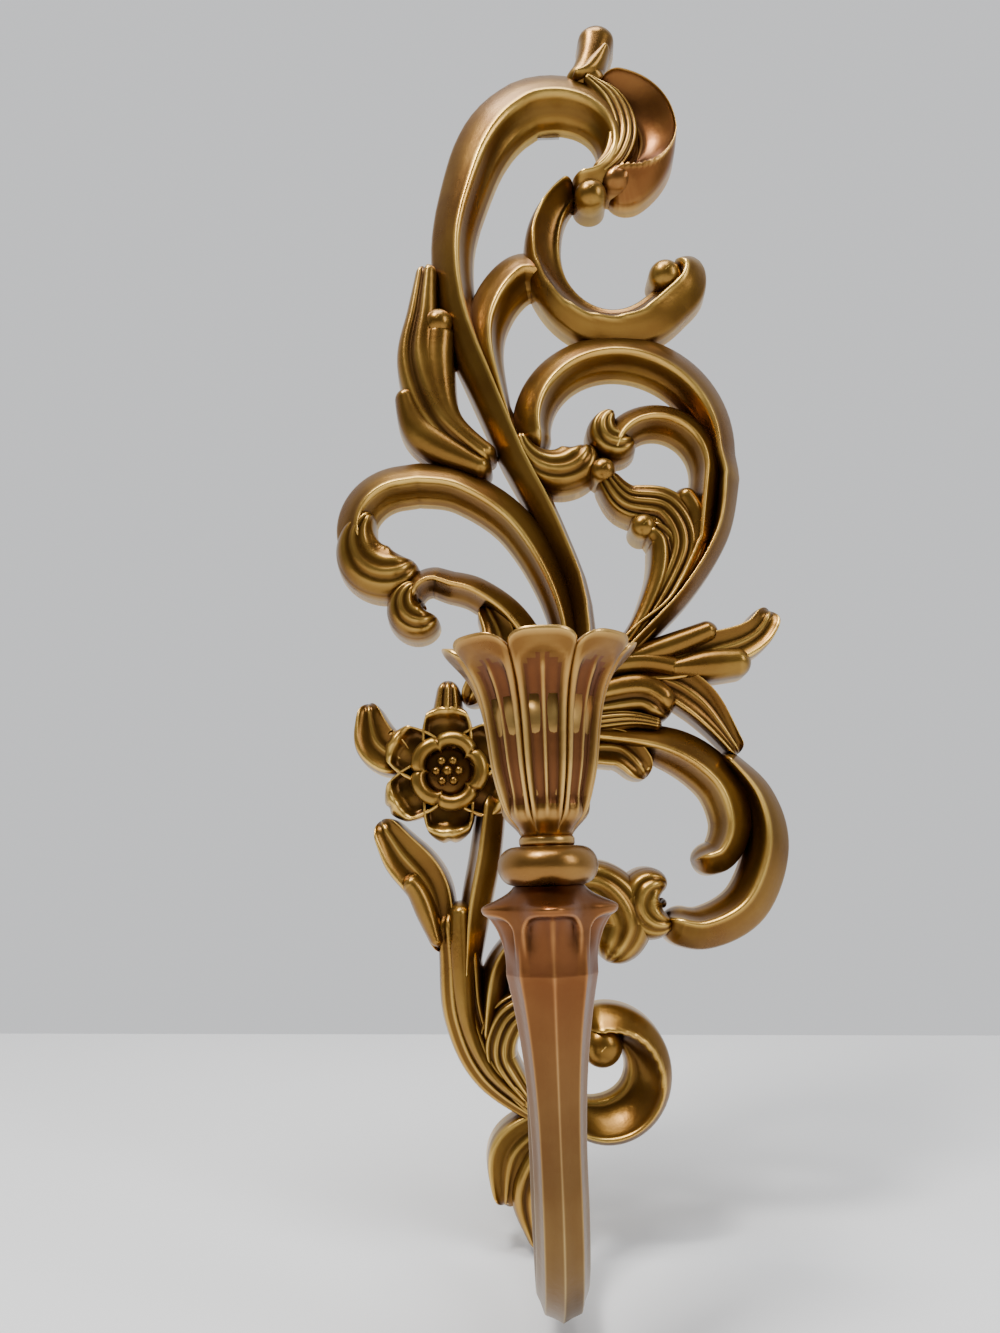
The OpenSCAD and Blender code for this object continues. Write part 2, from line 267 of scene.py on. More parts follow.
def round_end(distance, half):
    """How far a member's end has opened, from 0 at its very tip to 1 where its end is full."""
    if distance >= half:
        return 1.0
    return math.sqrt(max(1 - (1 - distance / half) ** 2, 0.0))


def strand(path, widths, sign=1, section=gutter(), lift=0.0):
    """One band or leaf, from the wall round its front and back to the wall.

    A path's left side is the outer edge where sign is 1, and its right side where sign is -1.
    """
    back = next(back_planes) * BACK_STEP
    fine = even(path, PATH_STEPS)
    total = sum(math.dist(a, b) for a, b in zip(fine, fine[1:]))
    verts = []
    cols = len(ACROSS) + 2
    for i in range(STEPS + 1):
        t = 0.5 - 0.5 * math.cos(math.pi * i / STEPS)
        k = round(t * PATH_STEPS)
        centre = along(fine, t) if 0 < i < STEPS else fine[k]
        before, after = fine[max(k - REACH, 0)], fine[min(k + REACH, PATH_STEPS)]
        dx, dz = after[0] - before[0], after[1] - before[1]
        size = math.hypot(dx, dz) or 1.0
        side = (-dz / size * sign, dx / size * sign)
        width = max(along(widths, t), NARROWEST) * FULLNESS
        opened = min(round_end(t * total, width / 2), round_end((1 - t) * total, width / 2))
        opened = max(opened, TIP_WIDTH)
        tallness = TIP_HEIGHT + (1 - TIP_HEIGHT) * opened
        for j, u in enumerate([-1] + ACROSS + [1]):
            at_wall = j in (0, cols - 1)
            tall = section(u, t, width) * (1 - EDGE_LOSS * abs(u) ** EDGE_POWER) + lift
            reach = u * width / 2 * opened * (DRAFT if at_wall else 1)
            depth = back if at_wall else min(tall * tallness, PLATE_DEPTH)
            verts.append(place(centre[0] + side[0] * reach, depth, centre[1] + side[1] * reach))
    faces = grid_faces(STEPS + 1, cols)
    for i in range(STEPS):
        a = i * cols
        faces.append((a + cols - 1, a, a + cols, a + 2 * cols - 1))
    faces.append(tuple(range(cols)))
    faces.append(tuple(reversed(range(len(verts) - cols, len(verts)))))
    return verts, faces


KNOB_DRAFT = 1.03
POINT_R = 0.02


def dome(x, z, r, top, tall=0.0, rings=16, around=40):
    """A rounded knob from the wall to its top; tall is the height of its rounded part."""
    back = next(back_planes) * BACK_STEP
    tall = tall or min(r * 0.95, top)
    verts = []
    for i in range(rings + 1):
        a = i / rings * math.pi / 2
        for j in range(around):
            b = j / around * 2 * math.pi
            reach = r * math.cos(a) if i < rings else POINT_R
            verts.append(place(x + reach * math.cos(b), top - tall + tall * math.sin(a),
                               z + reach * math.sin(b)))
    base = len(verts)
    reach = r * KNOB_DRAFT
    for j in range(around):
        b = j / around * 2 * math.pi
        verts.append(place(x + reach * math.cos(b), back, z + reach * math.sin(b)))
    faces = grid_faces(rings + 1, around, closed=True)
    for j in range(around):
        k = (j + 1) % around
        faces.append((base + j, base + k, k, j))
    faces.append(tuple(range(base + around - 1, base - 1, -1)))
    return verts, faces


# ---- materials --------------------------------------------------------------------------------------

WHITE = (1, 1, 1)


def new_material(name):
    """A new material, with its node tree and its shader."""
    material = bpy.data.materials.new(name)
    material.use_nodes = True
    return material, material.node_tree, material.node_tree.nodes["Principled BSDF"]


def noise(tree, scale, detail=2, vector=None):
    node = tree.nodes.new("ShaderNodeTexNoise")
    node.inputs["Scale"].default_value = scale
    node.inputs["Detail"].default_value = detail
    if vector:
        tree.links.new(vector, node.inputs["Vector"])
    return node.outputs["Fac"]


def ramp(tree, value, first, last, middle=None):
    """The colour that value gives between stops, each of which is a position and a colour."""
    node = tree.nodes.new("ShaderNodeValToRGB")
    stops = node.color_ramp.elements
    for stop, (position, colour) in zip(stops, (first, last)):
        stop.position = position
        stop.color = (*colour, 1)
    if middle:
        stops.new(middle[0]).color = (*middle[1], 1)
    tree.links.new(value, node.inputs["Fac"])
    return node.outputs["Color"]


def multiply(tree, a, b, share=1.0):
    node = tree.nodes.new("ShaderNodeMix")
    node.data_type = "RGBA"
    node.blend_type = "MULTIPLY"
    node.inputs["Factor"].default_value = share
    tree.links.new(a, node.inputs["A"])
    tree.links.new(b, node.inputs["B"])
    return node.outputs["Result"]


def stretch(tree, value, low, high, start=0.0, end=1.0):
    """value moved from the range of start to end into the range of low to high."""
    node = tree.nodes.new("ShaderNodeMapRange")
    node.inputs["From Min"].default_value = start
    node.inputs["From Max"].default_value = end
    node.inputs["To Min"].default_value = low
    node.inputs["To Max"].default_value = high
    tree.links.new(value, node.inputs["Value"])
    return node.outputs["Result"]


def gold_material(name, base, crease_shade, edge_wear_and_highlight, roughness, high=WHITE, low=WHITE):
    """Antique gold paint with painted light: painted shade makes it brown and dark in the recesses, and along
    the raised edges it is bright, partly rubbed wear and partly a painted highlight.

    high and low tint it at the top and the bottom of the arm.
    """
    material, tree, shader = new_material(name)
    shader.inputs["Metallic"].default_value = 0.86
    shader.inputs["Coat Weight"].default_value = 0.06
    shader.inputs["Coat Roughness"].default_value = 0.22
    geometry = tree.nodes.new("ShaderNodeNewGeometry")
    coords = tree.nodes.new("ShaderNodeTexCoord")
    occlusion = tree.nodes.new("ShaderNodeAmbientOcclusion")
    occlusion.inputs["Distance"].default_value = 0.012
    occlusion.samples = 8
    apart = tree.nodes.new("ShaderNodeSeparateXYZ")
    tree.links.new(coords.outputs["Object"], apart.inputs["Vector"])

    # by pointiness: painted shade in the hollows, and along the raised edges partly rubbed wear and partly a
    # painted highlight
    wear_highlight_and_shade = ramp(tree, geometry.outputs["Pointiness"], (0.42, crease_shade), (0.6, edge_wear_and_highlight), (0.505, base))
    # painted shade: the colour goes brown and dark where ambient occlusion finds the surface hemmed in, in
    # the recesses
    recess_shade = ramp(tree, occlusion.outputs["AO"], (0.25, (0.40, 0.28, 0.18)), (0.85, WHITE))
    mottle = noise(tree, 38, 5, coords.outputs["Object"])
    patches = ramp(tree, mottle, (0.34, (0.74, 0.6, 0.5)), (0.62, WHITE))
    bottom, top = place(0, 0, BEND_Z)[2], place(0, 0, CAPITAL_Z - CAPITAL_H)[2]
    climb = stretch(tree, apart.outputs["Z"], 0, 1, bottom, top)
    tone = ramp(tree, climb, (0, low), (1, high))
    colour = multiply(tree, wear_highlight_and_shade, recess_shade)
    colour = multiply(tree, colour, patches, 0.8)
    colour = multiply(tree, colour, tone)
    tree.links.new(colour, shader.inputs["Base Color"])
    rough = stretch(tree, mottle, roughness - 0.07, roughness + 0.1)
    tree.links.new(rough, shader.inputs["Roughness"])

    bump = tree.nodes.new("ShaderNodeBump")
    bump.inputs["Strength"].default_value = 0.12
    bump.inputs["Distance"].default_value = 0.0006
    tree.links.new(noise(tree, 420, 3, coords.outputs["Object"]), bump.inputs["Height"])
    tree.links.new(bump.outputs["Normal"], shader.inputs["Normal"])
    return material


def steel_material():
    material, tree, shader = new_material("plain_steel")
    shader.inputs["Metallic"].default_value = 1.0
    coords = tree.nodes.new("ShaderNodeTexCoord")
    cloud = noise(tree, 160, 4, coords.outputs["Object"])
    colour = ramp(tree, cloud, (0, (0.33, 0.32, 0.31)), (1, (0.6, 0.59, 0.57)))
    tree.links.new(colour, shader.inputs["Base Color"])
    tree.links.new(stretch(tree, cloud, 0.28, 0.5), shader.inputs["Roughness"])
    return material


def pale_material():
    material, tree, shader = new_material("pale_floor")
    colour = ramp(tree, noise(tree, 3), (0, (0.78, 0.785, 0.79)), (1, (0.84, 0.845, 0.85)))
    tree.links.new(colour, shader.inputs["Base Color"])
    shader.inputs["Roughness"].default_value = 0.55
    return material


# each paint's colours: its base, the painted shade of its hollows, and its edge colour, which is partly
# rubbed wear and partly a painted highlight
gold = gold_material("antique_gold", (0.185, 0.092, 0.0135), (0.05, 0.021, 0.004), (1.0, 0.66, 0.17), 0.28)
red_gold = gold_material("red_gold", (0.21, 0.085, 0.018), (0.05, 0.018, 0.005), (1.0, 0.62, 0.18), 0.3)
arm_gold = gold_material("arm_gold", (0.19, 0.086, 0.016), (0.06, 0.024, 0.006), (0.9, 0.56, 0.16), 0.31,
                         (0.95, 0.78, 1.0), (0.82, 0.98, 1.5))
ring_gold = gold_material("ring_gold", (0.20, 0.094, 0.018), (0.06, 0.024, 0.006), (0.9, 0.58, 0.18), 0.29)
cup_panel = gold_material("cup_panel", (0.16, 0.056, 0.015), (0.05, 0.017, 0.006), (0.6, 0.32, 0.11), 0.36)
arm_panel = gold_material("arm_panel", (0.17, 0.062, 0.016), (0.05, 0.017, 0.006), (0.6, 0.32, 0.11), 0.36)
steel = steel_material()


# ---- the moulding -----------------------------------------------------------------------------------

def member(nodes, strands, knobs=(), material=gold):
    """A piece of the moulding, which stands for one or more CAD nodes; a knob is its x, z and radius."""
    parts = list(strands) + [dome(x, z, r, PLATE_DEPTH) for x, z, r in knobs]
    make(nodes[0] + "_moulded", *join(parts), material, nodes)


stem_line = list(reversed(spiral((30, -35), (41, 14), (120, -85))))[:-1]
stem_line += curve([(9, 0), (-4, -10), (-15, -27), (-23, -50), (-29, -74), (-30, -97), (-26, -125),
                    (-13, -163), (-1, -196), (9, -218), (16, -236), (24, -262), (25, -292), (20, -315),
                    (6, -358), (0, -392), (0, -424)])
member(["main_stem", "trunk", "lower_trunk"], [
    strand(stem_line, [12, 20, 27, 28, 24, 20, 18, 16, 14, 12, 12, 14, 15, 14, 12], -1),
    strand(curve([(40, 10), (53, -4), (58, -22), (53, -38), (42, -48)]), [4, 13, 16, 14, 10], 1,
           veined(5, 0.9), lift=0.8)])
member(["upper_scroll"], [
    strand(spiral((48, -25), (29, 26), (92, -88)), [16, 18, 18, 20, 26], 1, gutter(0.5, 0.92, -0.6)),
    strand(curve([(46, -44), (54, -49), (61, -46)]), [17, 15, 8], -1, crowned, lift=1.0)],
    material=red_gold)
member(["finial"], [
    strand(curve([(40, 4), (43, 18), (47, 31), (49, 44)]), [30, 16, 17, 20], -1, crowned),
    strand(curve([(34, 10), (43, 14), (53, 28)]), [4, 10, 5], 1, crowned, lift=1.5)])
member(["small_scroll"], [
    strand(spiral((49, -86), (33, 36), (120, 305), 1.2, 60)
           + curve([(76, -116), (84, -109), (86, -100), (80, -94)], 14),
           [9, 17, 19, 21, 22, 15], -1, gutter(0.0, 0.66, -0.35, 9))],
    [(40, -58, 8), (74, -104, 8)])
member(["side_leaf"], [strand(curve([(18, -101), (3, -98), (-11, -115), (-15, -140), (-4, -186)]),
                              [22, 21, 18, 13, 7], -1)])
member(["upper_left_leaf"], [strand(curve([(-42, -93), (-45, -118), (-48, -145), (-38, -175),
                                           (-15, -199)]), [10, 15, 19, 17, 11], 1, lobed)])
member(["inner_left_leaf"], [strand(curve([(-36, -124), (-38, -148), (-32, -176), (-12, -196)]),
                                    [15, 15, 11, 8], -1, crowned, lift=0.6)], [(-37, -126, 7)])
member(["lower_left_leaf"], [strand(curve([(-55, -159), (-46, -182), (-14, -203)]), [9, 16, 10], -1,
                                    crowned)])
member(["left_scroll"], [
    strand(curve([(16, -326), (19, -290), (13, -258), (-4, -227), (-28, -209), (-48, -205)])
           + spiral((-57, -232), (26, 20), (88, 200)), [7, 11, 15, 17, 18, 18, 16], -1),
    strand(spiral((-61, -236), (16, 13), (120, 320)), [6, 18, 24, 24, 20], -1, shell)])
member(["lower_left_scroll"], [
    strand(curve([(11, -322), (3, -290), (-7, -272), (-22, -260), (-34, -256)])
           + spiral((-44, -265), (12, 8), (75, 180)), [9, 13, 14, 13, 10], -1),
    strand(spiral((-47, -266), (9, 7), (100, 320)), [6, 15, 18, 15], -1, shell)])
member(["drop_leaf"], [strand(curve([(-19, -266), (-13, -286), (-28, -312)]), [10, 17, 10], 1, dished)])
member(["right_scroll"], [
    strand(curve([(24, -314), (46, -290), (72, -264), (90, -236), (96, -208)])
           + spiral((39, -187), (56, 31), (-10, 190)), [8, 8, 10, 15, 20, 19, 17], -1),
    strand(spiral((20, -188), (20, 10), (170, 350)), [6, 14, 20, 22, 19], -1, shell)])
member(["inner_scroll"], [
    strand(curve([(26, -308), (46, -284), (66, -268), (82, -240)]) + spiral((60, -200), (29, 17), (-20, 170)),
           [6, 9, 12, 15, 14], -1),
    strand(spiral((47, -184), (8, 6), (100, 330)), [6, 15, 17, 14], -1, shell)])
member(["acanthus_leaf"], [
    strand(curve([(38, -205), (48, -219), (66, -224), (73, -242), (62, -266), (44, -290), (27, -310)]),
           [10, 18, 20, 17, 13, 9, 6], -1, veined(5, 0.8)),
    strand(curve([(56, -232), (64, -240), (63, -256), (54, -275), (43, -290)]), [10, 14, 13, 10, 7],
           -1, lobed, lift=0.8),
    strand(curve([(73, -214), (80, -228), (78, -246), (66, -270)]), [10, 12, 11, 6], -1, crowned)],
    [(38, -205, 6), (55, -233, 6)])
member(["leaf_fan"], [
    strand(curve([(16, -301), (48, -296), (69, -300)]), [9, 11, 10], 1, crowned, lift=0.5),
    strand(curve([(14, -309), (52, -303), (74, -313), (91, -338)]), [10, 15, 17, 7], 1, dished),
    strand(curve([(14, -316), (48, -310), (62, -320)]), [10, 16, 15], 1, lobed, lift=1.0),
    strand(curve([(12, -325), (42, -322), (58, -325)]), [9, 10, 6], 1, veined(5, 1.0))])
member(["leaf_spray"], [
    strand(curve([(34, -298), (64, -289), (86, -281)]), [8, 12, 10], 1, crowned),
    strand(curve([(34, -300), (82, -292), (102, -285), (111, -273)]), [9, 19, 17, 12], 1, dished),
    strand(curve([(60, -300), (80, -298), (100, -297)]), [8, 14, 12], 1, crowned, lift=0.6)])
member(["hook_ribbon"], [strand(curve([(18, -327), (58, -333), (80, -348), (86, -367), (80, -381),
                                       (68, -384)]), [9, 12, 18, 19, 16, 12], 1)])
member(["small_leaf"], [strand(curve([(14, -334), (38, -334), (50, -347)]), [12, 17, 12], 1, dished)])
member(["lower_right_scroll"], [
    strand(curve([(84, -338), (98, -356), (101, -378), (90, -402), (70, -412), (53, -408)]),
           [8, 13, 17, 18, 17, 15], 1),
    strand(spiral((52, -400), (9, 6), (300, 60)), [10, 19, 20, 15], 1, shell)])
member(["center_leaf"], [strand(curve([(2, -391), (26, -393), (36, -408), (28, -424)]),
                                [12, 20, 25, 16], 1, shell)])
member(["rose_leaves"], [
    strand(curve([(-72, -310), (-68, -328), (-54, -338)]), [9, 19, 16], 1, dished),
    strand(curve([(-36, -301), (-37, -320)]), [9, 14], 1, veined(3))])
member(["flower_stem"], [strand(curve([(-18, -352), (-22, -378), (-27, -402), (-30, -430)]),
                                [12, 13, 12, 7], 1)])
member(["stem_leaf"], [
    strand(curve([(-67, -362), (-58, -376), (-46, -392), (-40, -418)]), [11, 19, 17, 9], 1, dished),
    strand(curve([(-57, -386), (-50, -394), (-42, -416)]), [9, 10, 6], 1, crowned, lift=1.0)])
member(["lower_stem"], [
    strand(curve([(-36, -400), (-34, -420), (-32, -444), (-22, -466), (2, -485)]),
           [14, 17, 17, 14, 9], 1, veined(5, 0.9)),
    strand(curve([(-33, -397), (-33, -420), (-31, -445), (-23, -464), (-8, -478)]), [9, 11, 9, 6, 3],
           1, crowned, lift=2.5)])
member(["inner_ribbon"], [strand(curve([(-9, -412), (-18, -426), (-23, -454)]), [8, 12, 8], 1)])
member(["left_curl"], [strand(curve([(-2, -437), (-16, -446), (-19, -462), (-4, -482)]),
                              [13, 17, 15, 8], -1, veined(5, 1.3))])
member(["bottom_scroll"], [
    strand(spiral((24, -466), (21, 18), (212, 470)), [10, 17, 18, 16, 13], -1, gutter(0.45, 0.6, -0.5))],
    [(24, -457, 8.5)])
member(["bottom_leaf"], [
    strand(curve([(2, -485), (-14, -497), (-18, -517)]), [14, 19, 9], 1, dished),
    strand(curve([(2, -493), (-7, -512), (-5, -532)]), [14, 17, 6], 1, veined(3))])


# ---- the rose ---------------------------------------------------------------------------------------

ROSE = (-37, -342)
ROSE_PETALS = 6
PETAL_SPREAD = 11.5
PETAL_THICK = 4.0
BEADS = 6
BEAD_R = 2.0
BEAD_RING_R = 5.0


def thick_sheet(front, back, rows, cols):
    """Two grids of the same layout, joined round their edges."""
    n = rows * cols
    faces = grid_faces(rows, cols)
    faces += [tuple(reversed([k + n for k in f])) for f in grid_faces(rows, cols)]
    rim = [(i, 0) for i in range(rows)] + [(rows - 1, j) for j in range(1, cols)]
    rim += [(i, cols - 1) for i in range(rows - 2, -1, -1)] + [(0, j) for j in range(cols - 2, 0, -1)]
    loop = [i * cols + j for i, j in rim]
    for a, b in zip(loop, loop[1:] + loop[:1]):
        faces.append((a, b, b + n, a + n))
    return front + back, faces


def petal(angle):
    """One outer petal: a round dish with a rolled, wavy lip."""
    rows, cols = 18, 25
    layers = ([], [])
    a = math.radians(angle)
    for i in range(rows):
        v = i / (rows - 1)
        spread = PETAL_SPREAD * math.sqrt(max(1 - (1.1 * v - 0.45) ** 2, 0.05))
        for j in range(cols):
            u = j / (cols - 1) * 2 - 1
            reach = 7 + 24 * v - 4.5 * u * u * v - 1.2 * ridge(u, 0.2) * v ** 4
            edge = max(v, abs(u) ** 1.6)
            lip = 4.2 * ridge(edge - 0.84, 0.13)
            wave = 0.7 * math.cos(u * 6) * v
            depth = 13.2 + lip + wave - 3.5 * smooth(0.92, 1.0, edge)
            x = ROSE[0] + reach * math.cos(a) - u * spread * math.sin(a)
            z = ROSE[1] + reach * math.sin(a) + u * spread * math.cos(a)
            layers[0].append(place(x, depth, z))
            layers[1].append(place(x, depth - PETAL_THICK, z))
    return thick_sheet(*layers, rows, cols)


def rose_cup(rows=22, around=100):
    """The inner petals: a five-lobed cup with a thick rolled lip."""
    verts = []
    for i in range(rows):
        a = math.pi * (i / (rows - 1) * 1.25 - 0.1)
        for j in range(around):
            b = j / around * 2 * math.pi
            lobe = abs(math.cos(2.5 * b)) ** 0.5
            reach = 12.0 + 2.2 * lobe + 0.5 * math.cos(b) + 3.4 * math.cos(a)
            depth = 16.2 + 3.6 * math.sin(a) - 1.2 * (1 - lobe)
            verts.append(place(ROSE[0] + reach * math.cos(b), depth, ROSE[1] + reach * math.sin(b)))
    return verts, grid_faces(rows, around, closed=True)


def bead(k):
    a = 2 * math.pi * k / BEADS
    return dome(ROSE[0] + BEAD_RING_R * math.cos(a), ROSE[1] + BEAD_RING_R * math.sin(a), BEAD_R, 17.4)


rose_parts = [dome(*ROSE, 19, 14, 4)]
rose_parts += [petal(90 + 360 / ROSE_PETALS * k) for k in range(ROSE_PETALS)]
rose_parts += [rose_cup(), dome(*ROSE, 10.5, 15, 2)]
rose_parts += [bead(k) for k in range(BEADS)]
rose_parts += [dome(*ROSE, BEAD_R + 0.3, 18.4)]
make("rose_moulded", *join(rose_parts), gold, ["rose"])


# ---- the candle arm ---------------------------------------------------------------------------------

# points of the arm's straight part, its bend and its foot
SHAFT_STEPS = 30
BEND_STEPS = 48
FOOT_STEPS = 24


def arm_route():
    """The arm's centreline as (depth, z, radius), from the capital down, round and back to the wall."""
    route = []
    top = CAPITAL_Z - CAPITAL_H
    for i in range(SHAFT_STEPS + 1):
        t = i / SHAFT_STEPS
        swell = (1 - t) ** 2.2
        route.append((ARM_REACH, top + (BEND_Z - top) * t, ARM_R + (ARM_TOP_R - ARM_R) * swell))
    centre = ARM_REACH - ARM_BEND_R
    for i in range(1, BEND_STEPS + 1):
        a = math.pi * i / BEND_STEPS
        route.append((centre + ARM_BEND_R * math.cos(a), BEND_Z - ARM_BEND_R * math.sin(a), ARM_R))
    eye = ARM_REACH - 2 * ARM_BEND_R - FOOT_BEND_R
    knee = FOOT_Z - FOOT_BEND_R
    for i in range(1, FOOT_STEPS + 1):
        a = math.pi / 2 * i / FOOT_STEPS
        route.append((eye + FOOT_BEND_R * math.cos(a), knee + FOOT_BEND_R * math.sin(a), ARM_R))
    route.append((PLATE_DEPTH, FOOT_Z, ARM_R))
    return route


# points round the arm, and the angle from the middle of a face of its octagon to a corner
AROUND = 176
HALF_FACE = math.pi / 8


def octagon(angle, r):
    """Radius of the bar's softened octagonal outline, which has a corner at angle 0."""
    within = angle % (2 * HALF_FACE) - HALF_FACE
    softened = 1 - 0.018 * math.cos(4 * within) ** 2
    return r * math.cos(HALF_FACE) / math.cos(within) * softened


def arm_verts():
    """The rings of the octagonal bar, from the capital down to the wall."""
    route = arm_route()
    verts = []
    for i, (depth, z, r) in enumerate(route):
        a, b = route[max(i - 1, 0)], route[min(i + 1, len(route) - 1)]
        size = math.hypot(b[0] - a[0], b[1] - a[1])
        out = (-(b[1] - a[1]) / size, (b[0] - a[0]) / size)
        for j in range(AROUND):
            angle = j / AROUND * 2 * math.pi
            reach = octagon(angle, r)
            outwards = reach * math.cos(angle)
            verts.append(place(reach * math.sin(angle), depth + out[0] * outwards, z + out[1] * outwards))
    return verts


# the capital's rows: height below its top, radius between the lobes, how far the lobes stand out
CAPITAL_ROWS = [(CAPITAL_H, 13.4, 0.0), (22, 13.7, 0.6), (19, 14.0, 1.2), (16, 14.2, 2.0), (13, 14.4, 3.0),
                (10.5, 14.7, 4.2), (8.2, 15.0, 5.5), (6.6, 15.1, 6.0), (5.6, 14.8, 5.4), (4.6, 14.1, 4.0),
                (3.4, 13.2, 2.3), (2.2, 12.3, 1.0), (1.0, 11.5, 0.3), (0, 11.0, 0.0)]
# a lobe's panel: half its angle in degrees, the height of its arch below the top, and how deep it is
PANEL_HALF = 38
PANEL_TOP = 8.0
PANEL_DEPTH = 1.9


def capital_verts(rows=80):
    """Four flared lobes under a low domed top, each with an arched sunk panel, from the top down.

    The lowest rows flow into the octagon of the arm.
    """
    verts, sunk = [], []
    for i in range(rows):
        below, r, lobe = along(CAPITAL_ROWS, 1 - i / (rows - 1))
        flow = smooth(CAPITAL_H - 12, CAPITAL_H - 1, below)
        for j in range(AROUND):
            angle = j / AROUND * 360
            a = math.radians(angle)
            off = (angle + 45) % 90 - 45
            reach = r + lobe * (0.5 + 0.5 * math.cos(math.radians(4 * off))) ** 1.3
            arched = PANEL_TOP + 5.0 * (abs(off) / PANEL_HALF) ** 4
            inside = smooth(PANEL_HALF, PANEL_HALF - 7, abs(off)) * smooth(0, 1.6, below - arched)
            sunk.append(inside > 0.5)
            sink = PANEL_DEPTH - 0.9 * ridge(off, 4.0)
            reach -= sink * inside * smooth(CAPITAL_H - 1, CAPITAL_H - 13, below)
            reach += (octagon(a, ARM_TOP_R) - reach) * flow
            verts.append(place(reach * math.sin(a), ARM_REACH + reach * math.cos(a),
                               CAPITAL_Z - max(below, 0)))
    return verts, sunk


arm_points, sunk = capital_verts()
arm_points += arm_verts()[AROUND:]
arm_faces = grid_faces(len(arm_points) // AROUND, AROUND, closed=True)
panels = {k for k, face in enumerate(arm_faces) if all(v < len(sunk) and sunk[v] for v in face)}
arm_faces.append(tuple(range(AROUND)))
arm_faces.append(tuple(range(len(arm_points) - AROUND, len(arm_points))))
make("candle_arm_moulded", arm_points, arm_faces, arm_gold, ["candle_arm"], inlay=arm_panel, inlaid=panels)

ARM_BOSS_R = 11
make("arm_boss_moulded", *dome(0, FOOT_Z, ARM_BOSS_R, PLATE_DEPTH), gold, ["arm_boss"])


# ---- the ring, the collar and the cup ---------------------------------------------------------------

def turned(profile, around=72):
    """A closed ring turned about the cup's axis from a closed (radius, z) outline."""
    verts = []
    for r, z in profile:
        for j in range(around):
            a = j / around * 2 * math.pi
            verts.append(place(r * math.sin(a), ARM_REACH + r * math.cos(a), z))
    faces = grid_faces(len(profile), around, closed=True)
    last = (len(profile) - 1) * around
    for j in range(around):
        k = (j + 1) % around
        faces.append((last + j, last + k, k, j))
    return verts, faces


RING_END_R = 9.0
RING_STEPS = 24
ring = [(STUD_HOLE_R, CAPITAL_Z)]
for k in range(RING_STEPS + 1):
    a = math.pi * (k / RING_STEPS - 0.5)
    ring.append((RING_END_R + (RING_R - RING_END_R) * max(math.cos(a), 0.0) ** 0.8,
                 CAPITAL_Z + RING_H / 2 * (1 + math.sin(a))))
ring.append((STUD_HOLE_R, CAPITAL_Z + RING_H))
make("drip_ring_turned", *turned(ring), ring_gold, ["drip_ring"])

collar = [(STUD_HOLE_R, CUP_Z - COLLAR_H), (8.3, CUP_Z - COLLAR_H), (8.7, CUP_Z - 2.3), (8.7, CUP_Z - 0.8),
          (8.2, CUP_Z), (STUD_HOLE_R, CUP_Z)]
make("cup_collar_turned", *turned(collar), ring_gold, ["cup_collar"])

# outer radius of the cup's body by share of its height
CUP_RADII = [8.0, 12.8, 15.6, 17.4, 18.4, 19.3, 20.6, 22.8, 26.6, 31.8]
PETALS = 8
PETAL_OVERLAP = 1.02
PETAL_WALL = 3.0
CUP_PANEL_DEPTH = 2.2
# the petals' backs come no nearer to the axis than the core's bore, nor the stud's at their foot
BORE_CLEAR = 12.4
STUD_CLEAR = 3.2


def cup_petal(turn):
    """One thick petal: a sunk panel with a thin middle ridge inside an arched, rolled border."""
    rows, cols = 46, 29
    layers, sunk = ([], []), []
    for i in range(rows):
        v = i / (rows - 1)
        for j in range(cols):
            u = j / (cols - 1) * 2 - 1
            height = v * CUP_H - 4.5 * abs(u) ** 4 * smooth(0.8, 1.0, v)
            r = along(CUP_RADII, height / CUP_H)
            inside = smooth(0.76, 0.6, abs(u)) * smooth(0.93, 0.86, v + 0.09 * u ** 2)
            inside *= smooth(0.08, 0.2, v)
            sunk.append(inside > 0.5 and abs(u) > 0.05)
            spine = ridge(u, 0.12) * smooth(0.9, 0.82, v)
            groove = 1.5 * smooth(0.88, 1.0, abs(u)) * smooth(0.03, 0.1, v)
            lobe = 1.1 * (1 - u * u) * ridge(v - 0.12, 0.09)
            outer = r + lobe - groove - (CUP_PANEL_DEPTH - spine) * inside - 0.2
            behind = max(r - 0.6 - PETAL_WALL, BORE_CLEAR if v > 0.2 else STUD_CLEAR)
            a = math.radians(turn + u * PETAL_OVERLAP * 180 / PETALS)
            for layer, reach in zip(layers, (outer, behind)):
                layer.append(place(reach * math.sin(a), ARM_REACH + reach * math.cos(a), CUP_Z + height))
    verts, faces = thick_sheet(*layers, rows, cols)
    front = (rows - 1) * (cols - 1)
    return verts, faces, [k for k in range(front) if all(sunk[v] for v in faces[k])]


# the core inside the petals, as radius and height above the cup's foot: a bowl with the liner's bore
LINER_BORE_R = 12.06
core = [(STUD_HOLE_R, 0), (7.8, 0), (12.0, 7), (13.8, 15), (16.6, 31), (18.8, 42), (17.2, 42), (14.2, 32),
        (LINER_BORE_R, 31.5), (LINER_BORE_R, 11), (7, 11), (7, 4), (STUD_HOLE_R, 4)]
cup_verts, cup_faces = turned([(r, CUP_Z + height) for r, height in core])
panels = set()
for k in range(PETALS):
    verts, faces, sunk_faces = cup_petal(360 / PETALS * k)
    panels |= {len(cup_faces) + f for f in sunk_faces}
    cup_verts, cup_faces = join([(cup_verts, cup_faces), (verts, faces)])
make("candle_cup_petals", cup_verts, cup_faces, ring_gold, ["candle_cup"], "cup", cup_panel, panels)

# the metal parts keep the CAD's shapes
for name in ("arm_bolt", "arm_washer", "cup_stud", "stud_nut", "cup_liner", "hanger_plate",
             "hanger_nails"):
    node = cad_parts[name]
    node.data.materials.clear()
    node.data.materials.append(steel)


# ---- floor, light and camera ------------------------------------------------------------------------

# the camera is low and close, looks up by PITCH degrees and is rolled by ROLL degrees; its focal length
# is LENS_SHARE of the picture's height
LENS_SHARE = 0.72
SENSOR = 24
PITCH = 12
ROLL = 1.9

